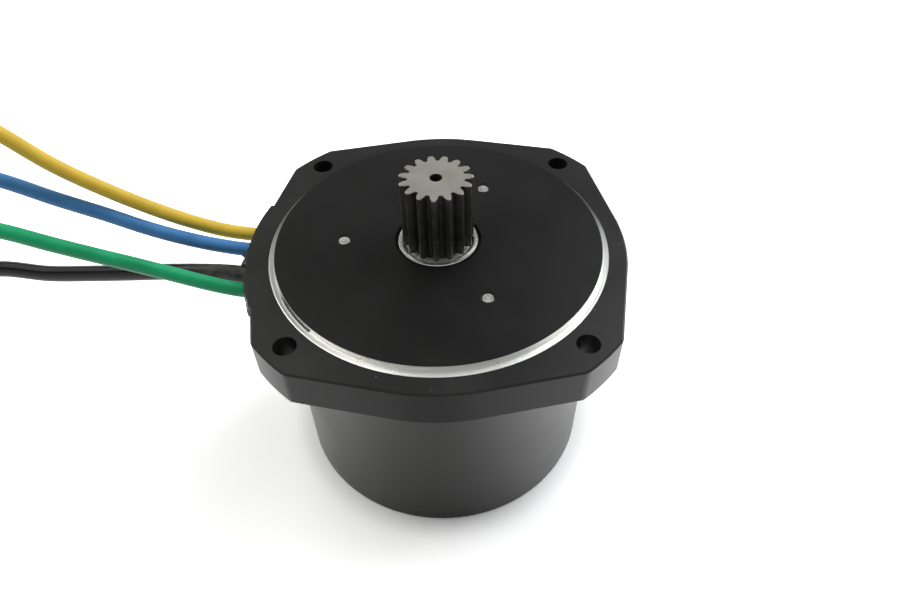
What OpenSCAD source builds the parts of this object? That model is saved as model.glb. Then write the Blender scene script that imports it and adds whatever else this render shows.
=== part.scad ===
// Mid-drive motor: the motor unit that bolts into a bicycle's gear housing.
// Z runs along the shaft, and Z = 0 is the mounting face of the front end cover.
// The pinion stands above that face and the motor can hangs below it. X points away from the leads.

/* [End cover] */
// Diameter of the round part of the flange
flange_d = 89.6; // [88:0.2:91]
// Thickness of the flange
flange_t = 9.8; // [9:0.1:12]
// Diameter over the turned ends of the corner ears
ear_d = 100; // [98:0.2:104]
// Width of an ear where its side lines meet that diameter
ear_w = 12; // [10:0.2:14]
// Radius of the ear's upright edges
ear_round = 3.4; // [2:0.2:4]
// Chamfer along the flange's rim
rim_chamfer = 0.4; // [0.2:0.1:0.8]
// Side of the square of bolt holes, centre to centre
bolt_square = 63.64; // [63:0.02:65]
// Diameter of the bolt holes
bolt_hole_d = 5.2; // [4.4:0.1:5.6]
// Diameter of the raised pilot boss
boss_d = 77.6; // [70:0.2:79]
// Height of the pilot boss
boss_h = 1.6; // [1:0.1:3]
// Chamfer on the boss's edge
boss_chamfer = 0.15; // [0.1:0.05:0.3]
// Width of the bare ring that is turned round the foot of the boss
face_cut_w = 1.5; // [1:0.1:2.4]
// Depth of that turned ring
face_cut = 0.1; // [0.05:0.05:0.3]
// Diameter of the opening round the shaft
shaft_opening_d = 20.6; // [20:0.1:24]
// Metal left in front of the front bearing
cover_lip = 2; // [1.2:0.1:3]
// Height of the register that enters the can
register_h = 5; // [4:0.2:8]
// Wall of the register
register_wall = 2; // [1.6:0.1:3]
// Metal left above the wiring recess
recess_roof = 3.4; // [2.4:0.1:3.6]
// Wall of the hub round the front bearing
hub_wall = 10; // [9.4:0.1:10.5]

/* [Lead exit] */
// Where the raised pad round the lead exit starts, in degrees round the shaft
pad_start = 160.4; // [158:0.2:162]
// Angle that the pad covers
pad_sweep = 50; // [46:1:54]
// How far the pad stands out from the flange
pad_out = 0.8; // [0.4:0.1:1.5]
// Height of the exit slot
slot_h = 4.6; // [4.2:0.1:5]
// Far end of the slot on the side away from the camera
slot_y_high = 13; // [12.6:0.1:13.4]
// Near end of the slot
slot_y_low = -19.5; // [-20:0.1:-18]
// How far the sealant stands out from the pad
seal_out = 0.9; // [0.4:0.1:1.5]
// Where the sealant starts between the register and the pad's face, as a share of that distance
seal_start = 0.46; // [0.44:0.01:0.7]

/* [Motor can] */
// Outside diameter of the can
can_d = 78; // [77:0.2:80]
// Height of the can below the flange
can_h = 53; // [52:0.5:60]
// Wall of the can
can_wall = 2.5; // [2:0.1:3]
// Thickness of the can's base
can_base_t = 2.6; // [2:0.1:4]
// Radius of the can's bottom edge
can_edge_r = 0.4; // [0.3:0.1:2]
// Width of the ledge that carries the stator
ledge_w = 1; // [0.6:0.1:1.6]
// Wall of the rear bearing's seat
rear_hub_wall = 3.4; // [2.4:0.2:4]
// Thickness of the seal ring between can and cover
seal_ring_d = 1.2; // [1:0.1:1.4]

/* [Stator] */
// Number of teeth and coils
slots = 12;
// Length of the lamination stack
stack_l = 27; // [24:0.5:28]
// Distance from the flange to the stack
stack_drop = 12.7; // [12.5:0.1:13]
// Thickness of the yoke behind the teeth
yoke_t = 4.8; // [4:0.1:5.2]
// Length of a tooth, from the yoke to the air gap
tooth_l = 11.1; // [10.6:0.1:11.4]
// Width of a tooth
tooth_w = 5.5; // [5:0.1:6]
// Thickness of the tooth's shoe
shoe_t = 1.8; // [1.4:0.1:2.2]
// Gap between two shoes
shoe_gap = 2.4; // [2:0.1:3]
// Thickness of the plastic end insulators
insulator_t = 1; // [0.8:0.1:1.2]
// Height of the insulator's outer wall, which carries the sensor board
post_h = 5.3; // [5.1:0.1:5.6]
// Build of a coil beside its tooth
coil_side = 2.2; // [1.6:0.1:2.4]
// Build of a coil over the end of its tooth
coil_end = 3.4; // [3:0.1:3.6]
// Corner radius outside a coil
coil_round = 1.8; // [1:0.1:2]
// Diameter of the bundle of wires that leaves a phase
tail_d = 2.2; // [2:0.1:2.4]
// Thickness of the sensor board
board_t = 1.6; // [1:0.1:1.8]

/* [Rotor and pinion] */
// Teeth on the pinion
pinion_teeth = 15; // [13:1:16]
// Module of the pinion
gear_module = 1; // [0.95:0.01:1.02]
// Pressure angle of the teeth
pressure_angle = 25; // [20:0.5:26]
// Height of the pinion's end above the mounting face
pinion_top = 19.4; // [16:0.2:24]
// Chamfer on the pinion's end
pinion_chamfer = 0.3; // [0.1:0.1:0.6]
// Angle of the first tooth
tooth_phase = -92.4; // [-100:0.2:-84]
// Diameter of the centre hole in the pinion's end
centre_hole_d = 2.8; // [2:0.1:3.4]
// Depth of the centre hole
centre_hole_depth = 8; // [4:0.5:12]
// Outside diameter of the spacer collar in front of the bearing
collar_d = 19; // [18.6:0.1:19.6]
// Width of the collar's inner chamfer
collar_chamfer = 0.2; // [0.1:0.05:0.6]
// Width of the groove that the tooth cutter runs into between the journal and the pinion
runout_w = 1; // [0.6:0.1:2]
// Air gap between stator and rotor
air_gap = 0.7; // [0.5:0.1:1]
// Thickness of the band round the magnets
band_t = 0.4; // [0.3:0.1:0.6]
// Thickness of the magnets
magnet_t = 3; // [2.5:0.1:3.4]
// Number of magnets
poles = 8;
// Share of its pitch that a magnet covers
magnet_share = 0.88; // [0.7:0.01:0.95]
// Length of the rotor core and magnets
rotor_l = 28; // [27:0.5:28.5]
// Thickness of the discs at the ends of the rotor core
disc_t = 1.2; // [0.8:0.1:1.6]
// Diameter of the shaft in the rotor core
core_seat_d = 18; // [16:0.5:19]

/* [Bearings] */
// Bore of the front bearing
front_bore_d = 17; // [16.9:0.1:17.1]
// Outside diameter of the front bearing
front_outer_d = 35; // [34.6:0.1:35.4]
// Width of the front bearing
front_w = 10; // [9.6:0.1:10.2]
// Balls in the front bearing
front_balls = 10;
// Bore of the rear bearing
rear_bore_d = 12; // [11.8:0.1:12.2]
// Outside diameter of the rear bearing
rear_outer_d = 28; // [27.8:0.1:28.4]
// Width of the rear bearing
rear_w = 8; // [7.8:0.1:8.2]
// Balls in the rear bearing
rear_balls = 8;
// Height of the wave washer under the rear bearing
washer_h = 0.9; // [0.7:0.1:1.2]
// Circle of the retainer's screws
screw_circle_d = 45; // [44.6:0.1:45.4]
// Diameter of the retainer's screws
screw_d = 3; // [2.8:0.1:3.1]
// How far the screws' ends lie below the boss's face
screw_sunk = 0.3; // [0.1:0.1:0.6]
// Thickness of the bearing retainer
retainer_t = 1.8; // [1.4:0.1:2]

/* [Leads] */
// Diameter of the three phase leads
phase_d = 3.3; // [3.2:0.1:3.4]
// Diameter of the sensor cable
cable_d = 3.8; // [3.7:0.1:3.9]
// Diameter of the bullet contacts' pins
bullet_pin_d = 4; // [3.5:0.1:4.2]
// Length of the bullet contacts' pins
bullet_pin_l = 11; // [8:0.5:14]
// Diameter of the sleeves over the bullet contacts
sleeve_d = 6; // [5.8:0.1:6.4]
// Diameter of the sensor cable's plug
plug_d = 9; // [8.6:0.2:10]
// Pins in that plug
plug_pins = 6; // [4:1:6]

/* [Hidden] */
$fn = 96;

// Small values that many pieces share
over = 1;               // how far a cutter runs past what it cuts
fit = 0.02;             // radial clearance of a piece in its seat
ball_play = 0.3;        // running clearance of balls and seals
cage_play = 0.15;       // clearance round a ball in its cage
cage_rim = 0.6;         // cage left above and below the balls
cage_half = 0.35;       // half of the cage's wall, as a share of the ball's radius
track_share = 0.26;     // ball track's radius, as a share of the bearing's width
land_share = 0.7;       // where a ring's land starts, as a share of the track's radius
bearing_seal_t = 0.8;   // thickness of a bearing's seal
bearing_seal_in = 0.2;  // how far it sits inside the ring's face
coil_gap = 0.3;         // between a coil and what it is wound on
insulator_trim = 0.2;   // how far the insulators stay inside the laminations' outline
hub_gap = 0.5;          // between the exit slot's inner end and the hub
rim_ease = 2;           // degrees that the round rim's chamfer stops short of the ears' lines
flange_r = flange_d / 2;
boss_r = boss_d / 2;
can_r = can_d / 2;
can_in = can_r - can_wall;

// Heights along the shaft
cover_under = -flange_t;
front_top = boss_h - cover_lip;
front_bottom = front_top - front_w;
retainer_under = front_bottom - retainer_t;
can_bottom = cover_under - can_h;
can_floor = can_bottom + can_base_t;
rear_bottom = can_floor + washer_h;
rear_top = rear_bottom + rear_w;
stack_top = cover_under - stack_drop;
stack_bottom = stack_top - stack_l;
rotor_top = stack_top + (rotor_l - stack_l) / 2;
rotor_bottom = rotor_top - rotor_l;
board_under = stack_top + post_h;
board_top = board_under + board_t;
lead_z = -(recess_roof + slot_h / 2);

// Radii
hub_r = front_outer_d / 2 + hub_wall;
register_in = can_in - register_wall;
stator_r = can_in - fit;
yoke_in = stator_r - yoke_t;
stator_in = stator_r - yoke_t - tooth_l;
shoe_r = stator_in + shoe_t;
band_r = stator_in - air_gap;
magnet_r = band_r - band_t;
core_r = magnet_r - magnet_t;
shoulder_r = 10.5;      // shaft's shoulder behind the front bearing
coil_half_w = tooth_w / 2 + coil_gap + coil_side;
coil_r_low = shoe_r + 2 * coil_gap;
coil_r_high = sqrt(pow(yoke_in - coil_gap, 2) - pow(coil_half_w, 2));   // its corners clear the round yoke
post_in = yoke_in + insulator_trim;
post_out = yoke_in + 1.8;

// Sensor board, its three tabs on the insulator's wall, and its sensors
board_in = 15.5;
board_r = hub_r;
tab_r = post_out - 0.4;
tab_w = 6.5;
tab_angles = [66, 186, 306];
sensor_w = 4;
sensor_t = 1.5;
sensor_r = board_in + 1.4;
sensor_drop = 3.6;
sensor_angles = [105, 135, 165];

// Groove that the ring seal sits in, turned in the register
seal_groove_drop = 2.5;
seal_groove_r = can_in - seal_ring_d;

// Bearing retainer and its screws
retainer_in = front_outer_d / 2 - 2.4;
retainer_out = screw_circle_d / 2 + 3.5;
screw_head_d = 5.5;
screw_head_h = 2;
screw_key = 2.5;        // hexagon across flats in the screw's head
screw_play = 0.15;      // between a screw and its hole in the retainer

// Shaft ends
collar_top = boss_h;
collar_edge = 0.1;      // chamfer on the collar's outer edge
journal_drop = 0.7;     // how far the journal's end lies below the collar's
journal_top = collar_top - journal_drop;
journal_chamfer = 0.75;
shaft_end = rear_bottom - 0.2;
end_chamfer = 0.3;
lightening_r = (core_seat_d / 2 + core_r) / 2;
lightening_d = (core_r - core_seat_d / 2) * 0.6;

// Contacts and plug at the leads' ends
splice_wall = 0.45;
barrel_l = 9;
barrel_d = 4.9;
crimp_l = 6;
bullet_neck = 0.3;      // depth of the groove behind the sprung part of the pin
bullet_tip = 1;         // chamfer on the pin's end
sleeve_l = 12;
sleeve_lap = 2;         // how far a sleeve runs past the barrel, over the lead
sleeve_cone = 2.4;
plug_l = 26;
plug_boot_l = 8;
plug_nose_l = 8;
plug_nose_step = 0.7;
plug_wall = 0.8;
socket_depth = 7;
socket_pin_d = 0.9;
pin_circle_r = plug_d * 0.22;

function polar(r, turn) = r * [cos(turn), sin(turn)];

// Ears: turned ends, and side lines that run from the corner circles to the round part
ear_r = ear_d / 2;
side_angle = asin(ear_w / ear_d) + acos(flange_r / ear_r);
end_angle = side_angle - acos((flange_r - ear_round) / (ear_r - ear_round));

// Routes of the leads, from inside the cover out to their contacts on the bench.
// Order across the exit: yellow, blue, sensor cable, green.
lead_y = [10.4, 4.6, -4.1, -9.6];
tail_x = -28.7;
splice_l = 4.4;
splice_x = tail_x - tail_d - splice_l;
route_yellow = [
    [-34, 10.4, -5.7], [-41, 10.4, -5.7], [-45.8, 10.4, -5.7], [-54.5, 10, -3.7], [-62.5, 9.2, 0.2],
    [-71, 8.3, 5.6], [-79.5, 7.3, 12.1], [-88, 6.4, 19.6], [-95.5, 5.6, 28.4], [-103, 6, 35],
    [-113, 8, 38], [-123, 11, 34], [-131, 14, 24], [-136, 16, 11], [-140, 18, -3], [-144, 19, -18],
    [-149, 20, -33], [-156, 20, -47], [-166, 20, -56.5], [-178, 20, -59.8], [-190, 20, -59.8]
];
route_blue = [
    [-34, 4.6, -5.7], [-41, 4.6, -5.7], [-46.4, 4.6, -5.7], [-55, 4.7, -4.1], [-63, 4.7, -1.6],
    [-71, 4.8, 1.6], [-80, 4.9, 6.1], [-90, 4.9, 10.9], [-101, 5, 16.5], [-110, 5, 19.5],
    [-119, 5.5, 18.5], [-127, 6, 13], [-133, 6, 4], [-138, 6.5, -8], [-142, 7, -21],
    [-147, 7, -34], [-154, 7, -46], [-164, 7, -55.5], [-176, 6.6, -59.7], [-204, 5, -59.8]
];
route_green = [
    [-34, -9.6, -5.7], [-41, -9.6, -5.7], [-45.8, -9.6, -5.7], [-53, -9.8, -3.4], [-61, -10.1, 0.2],
    [-69, -10.4, 3.8], [-77, -10.7, 7.2], [-85, -11.1, 10.9], [-94, -11.5, 15.2], [-103, -12.5, 18.5],
    [-112, -14, 19], [-121, -16, 15], [-128, -18, 6.5], [-133, -19.5, -5], [-138, -20.5, -18],
    [-143, -21, -31], [-150, -21, -43.5], [-160, -21, -54], [-172, -21.3, -59.6], [-204, -23, -59.8]
];
route_cable = [
    [-38, -4.1, -5.7], [-42, -4.1, -5.7], [-46.4, -4.1, -5.7], [-56, -3, -5.9], [-66, -2, -6.6],
    [-77, -1.1, -7.7], [-88, -0.1, -8.8], [-99, 0.8, -9.5], [-111, 1.8, -8.7], [-121, 1, -9.5],
    [-130, -1, -13.5], [-138, -3, -22.5], [-145, -5, -33.5], [-152, -6, -44.5], [-161, -7, -53.5],
    [-172, -7.4, -58], [-184, -8, -58.3], [-212, -9, -58.3]
];
// Thin wires of the sensor cable: from the jacket's end in the sealant down to the sensor board
wire_d = 1;
wire_pitch = 1.3;
wire_circle_r = 1.1;
wire_turns = [162, 234, 90, 306, 18];
function wire_start(k) = route_cable[0] + wire_circle_r * [0, cos(wire_turns[k]), sin(wire_turns[k])];
function route_wire(k) =
    let (start = wire_start(k), y = route_cable[0].y + (k - 2) * wire_pitch, mid_y = (start.y + y) / 2)
    [start, start + [2.5, 0, 0], [-33, mid_y, start.z - 0.8], [-31.2, y, -7.5], [-30.5, y, -10.5],
        [-30.5, y, board_top]];

// Sweeps a plain round lead along its route. Every route keeps clear of the Y direction.
function unit(v) = v / norm(v);
function heading(path, i) = unit(path[min(i + 1, len(path) - 1)] - path[max(i - 1, 0)]);
function ring_at(path, i, r, sides) =
    let (ahead = heading(path, i), side = unit(cross([0, 1, 0], ahead)), up = cross(ahead, side))
    [for (k = [0 : sides - 1]) path[i] + r * (cos(360 * k / sides) * side + sin(360 * k / sides) * up)];

module tube(path, d, sides = 8) {
    rings = len(path);
    points = [for (i = [0 : rings - 1]) each ring_at(path, i, d / 2, sides)];
    walls = [for (i = [0 : rings - 2], k = [0 : sides - 1])
        let (a = i * sides, next = (k + 1) % sides) [a + k, a + sides + k, a + sides + next, a + next]];
    first = [for (k = [0 : sides - 1]) k];
    last = [for (k = [sides - 1 : -1 : 0]) (rings - 1) * sides + k];
    polyhedron(points, concat([first], walls, [last]));
}

module ring(z_low, z_high, r_in, r_out) {
    translate([0, 0, z_low]) rotate_extrude() translate([r_in, 0]) square([r_out - r_in, z_high - z_low]);
}

module ring_flat(r_out, r_in) {
    difference() {
        circle(r_out);
        circle(r_in);
    }
}

// The flange, its ears and its rim chamfer
module arc_sector(r, sweep) {
    intersection() {
        circle(r);
        polygon([[0, 0], [2 * r, 0], polar(2 * r, sweep)]);
    }
}

module ear_flat() {
    centre_r = ear_r - ear_round;
    polygon([
        [0, 0], polar(flange_r, side_angle), polar(centre_r, end_angle) + polar(ear_round, side_angle),
        polar(centre_r, end_angle), polar(centre_r, -end_angle),
        polar(centre_r, -end_angle) + polar(ear_round, -side_angle), polar(flange_r, -side_angle)
    ]);
    for (side = [-1, 1]) translate(polar(centre_r, side * end_angle)) circle(ear_round, $fn = 32);
    rotate(-end_angle) arc_sector(ear_r, 2 * end_angle);
}

module flange_plate() {
    translate([0, 0, cover_under]) linear_extrude(flange_t) {
        circle(flange_r);
        for (corner = [45 : 90 : 315]) rotate(corner) ear_flat();
    }
}

module rim_cut(face_z, up) {
    for (corner = [45 : 90 : 315], turn = [-side_angle, side_angle])
        rotate(corner + turn)
        translate([flange_r - rim_chamfer, 0, face_z])
        rotate([0, -up * 45, 0])
        translate([0, -flange_d, -flange_d]) cube([flange_d, 2 * flange_d, 2 * flange_d]);
}

module rim_flat(r, face_z, up) {
    polygon([[r - rim_chamfer, face_z], [r - rim_chamfer, face_z + up * over], [r + over, face_z + up * over],
        [r + over, face_z - up * (rim_chamfer + over)]]);
}

module rim_ring(face_z, up) {
    rotate_extrude() rim_flat(ear_r, face_z, up);
    for (side = [-90, 0, 90])
        rotate(side - (45 - side_angle - rim_ease))
        rotate_extrude(angle = 90 - 2 * side_angle - 2 * rim_ease) rim_flat(flange_r, face_z, up);
}

module exit_pad() {
    rotate(pad_start) translate([0, 0, cover_under]) rotate_extrude(angle = pad_sweep)
        translate([hub_r, 0]) square([flange_r + pad_out - hub_r, flange_t]);
}

module exit_slot(shrink = 0) {
    translate([-flange_r - pad_out - seal_out - over, slot_y_low + shrink, lead_z - slot_h / 2 + shrink])
        cube([flange_r + pad_out + seal_out + over - hub_r - hub_gap, slot_y_high - slot_y_low - 2 * shrink,
            slot_h - 2 * shrink]);
}

module boss() {
    rotate_extrude() polygon([[0, -over], [boss_r, -over], [boss_r, boss_h - boss_chamfer],
        [boss_r - boss_chamfer, boss_h], [0, boss_h]]);
}

module screw_places() {
    for (turn = [60 : 120 : 300]) rotate(turn) translate([screw_circle_d / 2, 0, 0]) children();
}

module end_cover() {
    color([0.16, 0.16, 0.15]) difference() {
        union() {
            difference() {
                flange_plate();
                rim_cut(0, 1);
                rim_cut(cover_under, -1);
                rim_ring(0, 1);
                rim_ring(cover_under, -1);
            }
            exit_pad();
            boss();
            ring(cover_under - register_h, cover_under + over, register_in, can_in - fit);
            ring(front_bottom, cover_under + over, front_outer_d / 2, hub_r);
        }
        ring(-face_cut, over, boss_r, boss_r + face_cut_w);
        ring(cover_under - register_h - over, -recess_roof, hub_r, register_in);
        ring(front_bottom - over, front_top, 0, front_outer_d / 2);
        translate([0, 0, -over]) cylinder(boss_h + 2 * over, d = shaft_opening_d);
        for (x = [-1, 1], y = [-1, 1])
            translate([x * bolt_square / 2, y * bolt_square / 2, cover_under - over])
            cylinder(flange_t + 2 * over, d = bolt_hole_d);
        screw_places() {
            translate([0, 0, front_bottom - over]) cylinder(boss_h - front_bottom + 2 * over, d = screw_d);
            translate([0, 0, boss_h - screw_sunk]) cylinder(screw_sunk + over, d1 = screw_d,
                d2 = screw_d + 2 * (screw_sunk + over));
        }
        exit_slot();
        ring(cover_under - seal_groove_drop - seal_ring_d / 2, cover_under - seal_groove_drop
            + seal_ring_d / 2, seal_groove_r, can_in + over);
    }
}

module cover_seal() {
    color([0.08, 0.08, 0.08]) translate([0, 0, cover_under - seal_groove_drop])
        rotate_extrude() translate([can_in - seal_ring_d / 2, 0]) circle(d = seal_ring_d - 2 * fit, $fn = 24);
}

module motor_can() {
    color([0.27, 0.27, 0.25]) rotate_extrude() difference() {
        union() {
            translate([0, can_bottom + can_edge_r]) square([can_r, can_h - can_edge_r]);
            translate([0, can_bottom]) square([can_r - can_edge_r, can_edge_r]);
            translate([can_r - can_edge_r, can_bottom + can_edge_r]) intersection() {
                circle(can_edge_r, $fn = 48);
                translate([0, -can_edge_r]) square(2 * can_edge_r);
            }
        }
        translate([0, stack_bottom]) square([can_in, can_h]);
        translate([rear_outer_d / 2 + rear_hub_wall, can_floor])
            square([can_in - ledge_w - rear_outer_d / 2 - rear_hub_wall, can_h]);
        translate([0, can_floor]) square([rear_outer_d / 2, can_h]);
        translate([0, rear_top]) square([can_in - ledge_w, can_h]);
    }
}

// Stator laminations: a yoke with teeth that end in wide shoes
module stator_flat(trim = 0) {
    difference() {
        union() {
            ring_flat(stator_r - trim, yoke_in + trim);
            ring_flat(shoe_r - trim, stator_in + trim);
            for (k = [0 : slots - 1]) rotate(k * 360 / slots)
                translate([stator_in + shoe_t / 2, -tooth_w / 2 + trim])
                square([yoke_in + yoke_t / 2 - stator_in - shoe_t / 2, tooth_w - 2 * trim]);
        }
        for (k = [0 : slots - 1]) rotate((k + 0.5) * 360 / slots)
            translate([stator_in - over, -shoe_gap / 2 - trim])
            square([shoe_t + 2 * over, shoe_gap + 2 * trim]);
    }
}

module stator_core() {
    color([0.45, 0.46, 0.48]) translate([0, 0, stack_bottom]) linear_extrude(stack_l) stator_flat();
}

module insulator() {
    difference() {
        linear_extrude(insulator_t) stator_flat(insulator_trim);
        ring(-over, insulator_t + over, post_out, stator_r + over);
    }
    ring(0, post_h, post_in, post_out);
}

module front_insulator() {
    color([0.75, 0.72, 0.62]) translate([0, 0, stack_top]) insulator();
}

module rear_insulator() {
    color([0.75, 0.72, 0.62]) translate([0, 0, stack_bottom]) mirror([0, 0, 1]) insulator();
}

// One coil: a rounded frame of copper round a tooth and its insulators
module coil_frame_flat(w, h, r) {
    for (x = [-1, 1], y = [-1, 1]) translate([x * (w / 2 - r), y * (h / 2 - r)]) circle(r, $fn = 32);
    square([w - 2 * r, h], center = true);
    square([w, h - 2 * r], center = true);
}

module coil() {
    window_w = tooth_w + 2 * coil_gap;
    window_h = stack_l + 2 * insulator_t + 2 * coil_gap;
    translate([coil_r_low, 0, (stack_top + stack_bottom) / 2]) rotate([90, 0, 90])
        linear_extrude(coil_r_high - coil_r_low) difference() {
            coil_frame_flat(2 * coil_half_w, window_h + 2 * coil_end, coil_round);
            square([window_w, window_h], center = true);
        }
}

// The end of a phase: it rises beside its coil and turns towards its lead
module tail(y) {
    bend = tail_d;
    coil_top = stack_top + insulator_t;
    translate([tail_x, y, coil_top]) cylinder(lead_z - bend - coil_top, d = tail_d, $fn = 32);
    translate([tail_x - bend, y, lead_z - bend]) rotate([90, 0, 0])
        rotate_extrude(angle = 90, $fn = 48) translate([bend, 0]) circle(d = tail_d, $fn = 32);
    translate([tail_x - bend, y, lead_z]) rotate([0, -90, 0]) cylinder(splice_l / 2, d = tail_d, $fn = 32);
}

module winding(phase, y) {
    color([0.72, 0.38, 0.18]) {
        for (k = [phase : 3 : slots - 1]) rotate(k * 360 / slots) coil();
        tail(y);
    }
}

module winding_u() { winding(0, lead_y[1]); }
module winding_v() { winding(1, lead_y[3]); }
module winding_w() { winding(2, lead_y[0]); }

// Crimped splices that join each phase to its lead
module phase_splices() {
    color([0.8, 0.76, 0.66]) for (k = [0, 1, 3]) translate([splice_x, lead_y[k], lead_z]) rotate([0, 90, 0])
        difference() {
            cylinder(splice_l, d = phase_d + 2 * splice_wall, $fn = 48);
            translate([0, 0, -over]) cylinder(splice_l / 2 + over, d = phase_d, $fn = 48);
            cylinder(splice_l + over, d = tail_d, $fn = 32);
        }
}

module hall_board() {
    color([0.1, 0.35, 0.2]) translate([0, 0, board_under]) linear_extrude(board_t) difference() {
        union() {
            circle(board_r);
            for (turn = tab_angles) rotate(turn) translate([0, -tab_w / 2]) square([tab_r, tab_w]);
        }
        circle(board_in);
    }
}

module hall_sensors() {
    color([0.12, 0.12, 0.13]) for (turn = sensor_angles) rotate(turn)
        translate([sensor_r, -sensor_w / 2, board_under - sensor_drop]) cube([sensor_t, sensor_w, sensor_drop]);
}

module bearing_retainer() {
    color([0.6, 0.6, 0.6]) difference() {
        ring(retainer_under, front_bottom, retainer_in, retainer_out);
        screw_places() translate([0, 0, retainer_under - over])
            cylinder(retainer_t + 2 * over, d = screw_d + 2 * screw_play);
    }
}

module retainer_screws() {
    color([0.75, 0.75, 0.74]) screw_places() difference() {
        union() {
            translate([0, 0, retainer_under - screw_head_h]) cylinder(screw_head_h, d = screw_head_d, $fn = 48);
            translate([0, 0, retainer_under]) cylinder(boss_h - 2 * screw_sunk - retainer_under, d = screw_d,
                $fn = 48);
            translate([0, 0, boss_h - 2 * screw_sunk]) cylinder(screw_sunk, d1 = screw_d,
                d2 = screw_d - 2 * screw_sunk, $fn = 48);
        }
        translate([0, 0, retainer_under - screw_head_h - over])
            cylinder(screw_head_h / 2 + over, d = screw_key / cos(30), $fn = 6);
    }
}

// Ball bearings: rings with a ball track, rubber seals, balls and a cage
front_ball_r = (front_bore_d + front_outer_d) / 4;
front_track = front_w * track_share;
front_land = front_track * land_share;
front_z = (front_top + front_bottom) / 2;
rear_ball_r = (rear_bore_d + rear_outer_d) / 4;
rear_track = rear_w * track_share;
rear_land = rear_track * land_share;
rear_z = (rear_top + rear_bottom) / 2;

module bearing_ring(z_low, w, r_in, r_out, ball_r, track) {
    translate([0, 0, z_low]) rotate_extrude() difference() {
        translate([r_in, 0]) square([r_out - r_in, w]);
        translate([ball_r, w / 2]) circle(track, $fn = 48);
    }
}

module seals(z_low, w, r_in, r_out) {
    for (z = [z_low + bearing_seal_in, z_low + w - bearing_seal_in - bearing_seal_t])
        ring(z, z + bearing_seal_t, r_in, r_out);
}

module balls(z, ball_r, size, count) {
    for (k = [0 : count - 1]) rotate(k * 360 / count) translate([ball_r, 0, z]) sphere(size, $fn = 32);
}

module cage(z, ball_r, size, count) {
    difference() {
        ring(z - size - cage_rim, z + size + cage_rim, ball_r - size * cage_half, ball_r + size * cage_half);
        balls(z, ball_r, size + cage_play, count);
    }
}

module front_bearing_outer() {
    color([0.7, 0.7, 0.72]) bearing_ring(front_bottom, front_w, front_ball_r + front_land,
        front_outer_d / 2 - fit, front_ball_r, front_track);
}
module front_bearing_inner() {
    color([0.7, 0.7, 0.72]) bearing_ring(front_bottom, front_w, front_bore_d / 2 + fit,
        front_ball_r - front_land, front_ball_r, front_track);
}
module front_bearing_seals() {
    color([0.1, 0.1, 0.1]) seals(front_bottom, front_w, front_ball_r - front_land + ball_play,
        front_ball_r + front_land);
}
module front_bearing_balls() {
    color([0.85, 0.85, 0.87]) balls(front_z, front_ball_r, front_track - ball_play, front_balls);
}
module front_bearing_cage() {
    color([0.5, 0.45, 0.3]) cage(front_z, front_ball_r, front_track - ball_play, front_balls);
}
module rear_bearing_outer() {
    color([0.7, 0.7, 0.72]) bearing_ring(rear_bottom, rear_w, rear_ball_r + rear_land, rear_outer_d / 2 - fit,
        rear_ball_r, rear_track);
}
module rear_bearing_inner() {
    color([0.7, 0.7, 0.72]) bearing_ring(rear_bottom, rear_w, rear_bore_d / 2 + fit, rear_ball_r - rear_land,
        rear_ball_r, rear_track);
}
module rear_bearing_seals() {
    color([0.1, 0.1, 0.1]) seals(rear_bottom, rear_w, rear_ball_r - rear_land + ball_play,
        rear_ball_r + rear_land);
}
module rear_bearing_balls() {
    color([0.85, 0.85, 0.87]) balls(rear_z, rear_ball_r, rear_track - ball_play, rear_balls);
}
module rear_bearing_cage() {
    color([0.5, 0.45, 0.3]) cage(rear_z, rear_ball_r, rear_track - ball_play, rear_balls);
}

// Wave washer: a thin ring that rises and falls three times between the can and the bearing
module wave_washer() {
    steps = 36;
    leaf = 0.3;
    rise = (washer_h - leaf) / 2;
    r_low = rear_outer_d / 2 - 2.6;
    r_high = rear_outer_d / 2 - 0.3;
    function corner(k, r, z) =
        let (turn = k * 360 / steps)
        [r * cos(turn), r * sin(turn), can_floor + washer_h / 2 + rise * sin(3 * turn) + z];
    points = [for (k = [0 : steps - 1]) each [corner(k, r_low, -leaf / 2), corner(k, r_high, -leaf / 2),
        corner(k, r_high, leaf / 2), corner(k, r_low, leaf / 2)]];
    faces = [for (k = [0 : steps - 1], c = [0 : 3])
        let (a = 4 * k, b = 4 * ((k + 1) % steps), d = (c + 1) % 4)
        each [[a + c, a + d, b + d], [a + c, b + d, b + c]]];
    color([0.55, 0.55, 0.57]) polyhedron(points, faces);
}

// Sealant that fills the exit slot round the leads
module lead_seal() {
    outer = flange_r + pad_out;
    color([0.09, 0.09, 0.09]) difference() {
        intersection() {
            exit_slot(fit);
            ring(cover_under, 0, register_in + seal_start * (outer - register_in), outer + seal_out);
        }
        for (k = [0 : 3]) translate([-outer - seal_out - over, lead_y[k], lead_z]) rotate([0, 90, 0])
            cylinder(outer + seal_out + over - hub_r, d = k == 2 ? cable_d : phase_d, $fn = 48);
    }
}

module lead_yellow() { color([0.85, 0.72, 0.15]) tube(route_yellow, phase_d); }
module lead_blue() { color([0.2, 0.42, 0.68]) tube(route_blue, phase_d); }
module lead_green() { color([0.1, 0.62, 0.36]) tube(route_green, phase_d); }
module hall_cable() { color([0.1, 0.1, 0.1]) tube(route_cable, cable_d); }
module hall_wires() {
    tints = [[0.75, 0.1, 0.1], [0.1, 0.1, 0.1], [0.85, 0.72, 0.15], [0.2, 0.42, 0.68], [0.1, 0.62, 0.36]];
    for (k = [0 : 4]) color(tints[k]) tube(route_wire(k), wire_d, 6);
}

// Bullet contacts: a crimp barrel on the lead's end, a sprung pin and a sleeve over the barrel
module at_end(path) { translate(path[len(path) - 1]) rotate([0, -90, 0]) children(); }

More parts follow.
